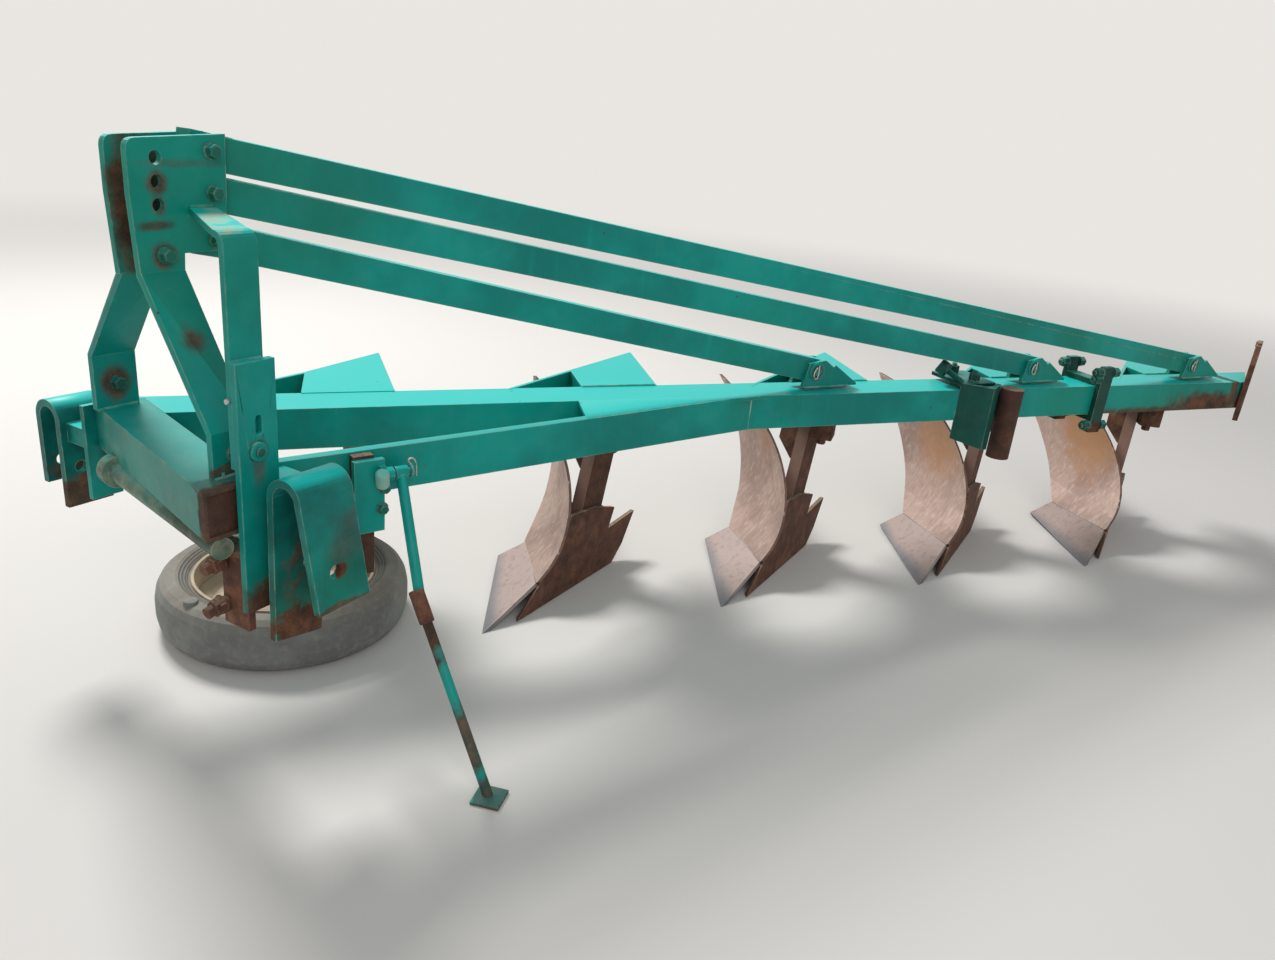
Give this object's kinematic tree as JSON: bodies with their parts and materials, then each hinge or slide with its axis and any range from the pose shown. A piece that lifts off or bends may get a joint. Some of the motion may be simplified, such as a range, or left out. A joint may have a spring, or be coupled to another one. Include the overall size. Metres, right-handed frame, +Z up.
{
  "type": "moldboard plough",
  "caption": "Mounted moldboard plough: diagonal beam with curved bodies, hitch tower with braces, lower hitch straps, parking stand and land wheel.",
  "frame": {"origin": "on the ground below the middle of the box that bounds the plough", "axes": "+X to the rear along the line of travel, +Y to the right hand side of the plough, +Z up"},
  "size_m": [3.4674, 2.4831, 1.2682],
  "materials": {
    "green_paint": "gloss teal paint, chipped",
    "dark_paint": "dark green paint",
    "worn_steel": "dusty earth polished steel",
    "share_steel": "bare ground steel",
    "rusty_steel": "rust brown",
    "tyre_rubber": "dusty grey",
    "rim_paint": "dusty cream paint"
  },
  "bodies": {
    "frame": {"main_beam": "green_paint", "short_beam": "green_paint", "cross_beam": "green_paint", "cross_shaft": "rusty_steel", "tower_plate_near": "green_paint", "tower_plate_far": "green_paint", "tower_bolts": "rusty_steel", "brace_bar_1": "green_paint", "brace_bar_2": "green_paint", "brace_bar_3": "green_paint", "brace_bracket_1": "green_paint", "brace_bracket_2": "green_paint", "brace_bracket_3": "green_paint", "leg_bracket_1": "green_paint", "leg_bracket_2": "green_paint", "leg_bracket_3": "green_paint", "leg_bracket_4": "green_paint", "leg_bracket_5": "green_paint", "hitch_strap_near": "green_paint", "hitch_strap_far": "green_paint", "post_plate": "green_paint", "post_tie": "green_paint", "post_clamp": "rusty_steel", "stand_bracket": "green_paint", "stand_stem": "rusty_steel", "beam_clamp": "dark_paint", "coulter_tube": "rusty_steel", "rear_clamp": "dark_paint", "leg_1": "rusty_steel", "leg_2": "rusty_steel", "leg_3": "rusty_steel", "leg_4": "rusty_steel", "mouldboard_1": "worn_steel", "mouldboard_2": "worn_steel", "mouldboard_3": "worn_steel", "mouldboard_4": "worn_steel", "share_1": "share_steel", "share_2": "share_steel", "share_3": "share_steel", "share_4": "share_steel", "landside_1": "rusty_steel", "landside_2": "rusty_steel", "landside_3": "rusty_steel", "landside_4": "rusty_steel", "wheel_leg": "rusty_steel"},
    "wheel": {"wheel_rim": "rim_paint", "tyre": "tyre_rubber"},
    "stand": {"stand_tube": "green_paint", "stand_rod": "rusty_steel"}
  },
  "joints": [
    {"name": "wheel_turn", "type": "hinge", "parent": "frame", "child": "wheel", "pos_m": [-1.1687, 0.9196, 0.05], "axis": [0, 0, 1], "continuous": true},
    {"name": "stand_swing", "type": "hinge", "parent": "frame", "child": "stand", "pos_m": [-1.31757, 0.36573, 0.609], "axis": [-0.9323, 0.3616, 0], "range_deg": [0, 60]}
  ]
}
